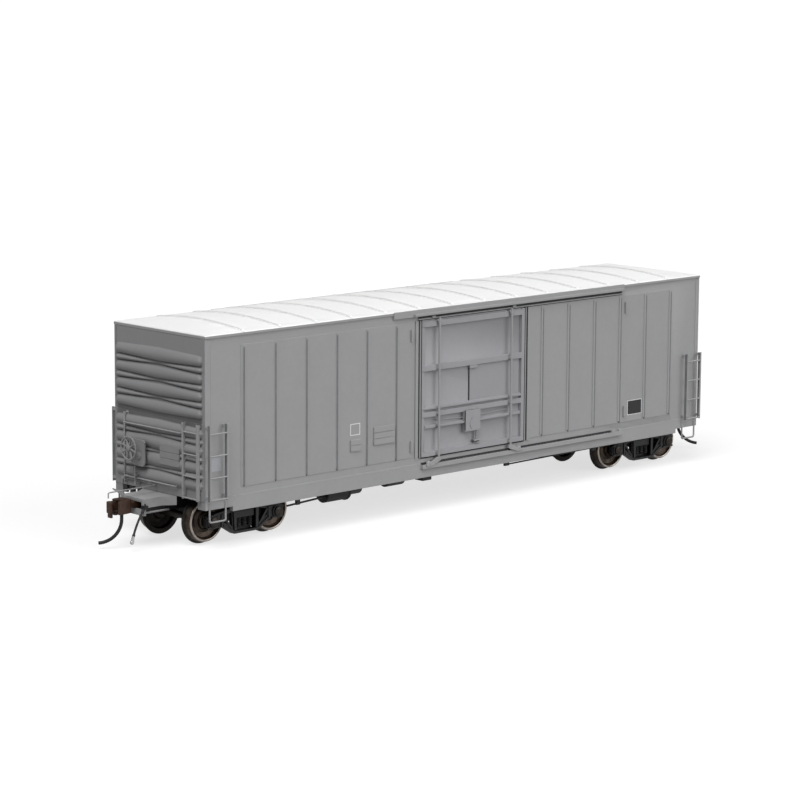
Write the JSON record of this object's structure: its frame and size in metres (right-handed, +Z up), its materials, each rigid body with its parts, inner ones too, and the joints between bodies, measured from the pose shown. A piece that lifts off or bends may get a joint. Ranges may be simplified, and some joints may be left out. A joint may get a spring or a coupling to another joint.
{
  "type": "model railroad boxcar",
  "caption": "Scale model of an insulated plug-door boxcar with turning trucks and wheels, swinging couplers, ladders and brake gear.",
  "frame": {"origin": "bottom centre of the car, on the plane its wheel flanges stand on", "axes": "+X along the car towards the plain end, the hand brake end at -X; +Y across to the left side; +Z up"},
  "size_m": [0.2096, 0.0376, 0.0536],
  "materials": {
    "grey_shell": "satin grey painted plastic",
    "white_roof": "flat white painted plastic",
    "black_plastic": "satin black moulded plastic",
    "brown_metal": "brown blackened zinc casting",
    "wheel_metal": "turned, brown blackened metal",
    "steel": "plain turned steel"
  },
  "bodies": {
    "car_body": {"right_side": "grey_shell", "left_side": "grey_shell", "brake_end_wall": "grey_shell", "plain_end_wall": "grey_shell", "roof": "white_roof", "floor": "black_plastic", "center_sill": "black_plastic", "body_bolsters": "black_plastic", "crossbearers": "black_plastic", "steel_weight": "steel", "right_door": "grey_shell", "left_door": "grey_shell", "right_door_gear": "grey_shell", "left_door_gear": "grey_shell", "right_door_tracks": "grey_shell", "left_door_tracks": "grey_shell", "side_ladders": "grey_shell", "end_ladders": "grey_shell", "end_grab_irons": "grey_shell", "stirrup_steps": "grey_shell", "brake_wheel": "grey_shell", "brake_housing": "grey_shell", "tack_boards": "grey_shell", "side_boards": "grey_shell", "strikers": "grey_shell", "draft_boxes": "black_plastic", "uncoupling_levers": "grey_shell", "air_hoses": "black_plastic", "glad_hands": "steel", "brake_cylinder": "black_plastic", "air_reservoir": "black_plastic", "brake_valve": "black_plastic", "brake_rods": "black_plastic", "truck_screws": "steel"},
    "brake_end_truck_body": {"brake_end_sideframes": "black_plastic", "brake_end_bolster": "black_plastic"},
    "brake_end_outer_wheelset": {"brake_end_outer_wheels": "wheel_metal", "brake_end_outer_axle": "steel"},
    "brake_end_inner_wheelset": {"brake_end_inner_wheels": "wheel_metal", "brake_end_inner_axle": "steel"},
    "brake_end_coupler_body": {"brake_end_coupler": "brown_metal", "brake_end_trip_pin": "black_plastic"},
    "brake_end_knuckle_body": {"brake_end_knuckle": "brown_metal"},
    "plain_end_truck_body": {"plain_end_sideframes": "black_plastic", "plain_end_bolster": "black_plastic"},
    "plain_end_outer_wheelset": {"plain_end_outer_wheels": "wheel_metal", "plain_end_outer_axle": "steel"},
    "plain_end_inner_wheelset": {"plain_end_inner_wheels": "wheel_metal", "plain_end_inner_axle": "steel"},
    "plain_end_coupler_body": {"plain_end_coupler": "brown_metal", "plain_end_trip_pin": "black_plastic"},
    "plain_end_knuckle_body": {"plain_end_knuckle": "brown_metal"}
  },
  "joints": [
    {"name": "brake_end_truck_swivel", "type": "hinge", "parent": "car_body", "child": "brake_end_truck_body", "pos_m": [-0.0718, 0, 0.0086], "axis": [0, 0, 1], "range_deg": [-9, 9]},
    {"name": "brake_end_outer_wheels_turn", "type": "hinge", "parent": "brake_end_truck_body", "child": "brake_end_outer_wheelset", "pos_m": [-0.0821, 0, 0.00589], "axis": [0, 1, 0], "continuous": true},
    {"name": "brake_end_inner_wheels_turn", "type": "hinge", "parent": "brake_end_truck_body", "child": "brake_end_inner_wheelset", "pos_m": [-0.0615, 0, 0.00589], "axis": [0, 1, 0], "continuous": true},
    {"name": "brake_end_coupler_swing", "type": "hinge", "parent": "car_body", "child": "brake_end_coupler_body", "pos_m": [-0.0875, 0, 0.01056], "axis": [0, 0, 1], "range_deg": [-9, 9], "stiffness_Nm_per_rad": 0.0004},
    {"name": "brake_end_knuckle_open", "type": "hinge", "parent": "brake_end_coupler_body", "child": "brake_end_knuckle_body", "pos_m": [-0.101, 0.0014, 0.01056], "axis": [0, 0, 1], "range_deg": [-25, 0], "stiffness_Nm_per_rad": 0.0001},
    {"name": "plain_end_truck_swivel", "type": "hinge", "parent": "car_body", "child": "plain_end_truck_body", "pos_m": [0.0718, 0, 0.0086], "axis": [0, 0, 1], "range_deg": [-9, 9]},
    {"name": "plain_end_outer_wheels_turn", "type": "hinge", "parent": "plain_end_truck_body", "child": "plain_end_outer_wheelset", "pos_m": [0.0821, 0, 0.00589], "axis": [0, 1, 0], "continuous": true},
    {"name": "plain_end_inner_wheels_turn", "type": "hinge", "parent": "plain_end_truck_body", "child": "plain_end_inner_wheelset", "pos_m": [0.0615, 0, 0.00589], "axis": [0, 1, 0], "continuous": true},
    {"name": "plain_end_coupler_swing", "type": "hinge", "parent": "car_body", "child": "plain_end_coupler_body", "pos_m": [0.0875, 0, 0.01056], "axis": [0, 0, 1], "range_deg": [-9, 9], "stiffness_Nm_per_rad": 0.0004},
    {"name": "plain_end_knuckle_open", "type": "hinge", "parent": "plain_end_coupler_body", "child": "plain_end_knuckle_body", "pos_m": [0.101, -0.0014, 0.01056], "axis": [0, 0, 1], "range_deg": [-25, 0], "stiffness_Nm_per_rad": 0.0001}
  ]
}
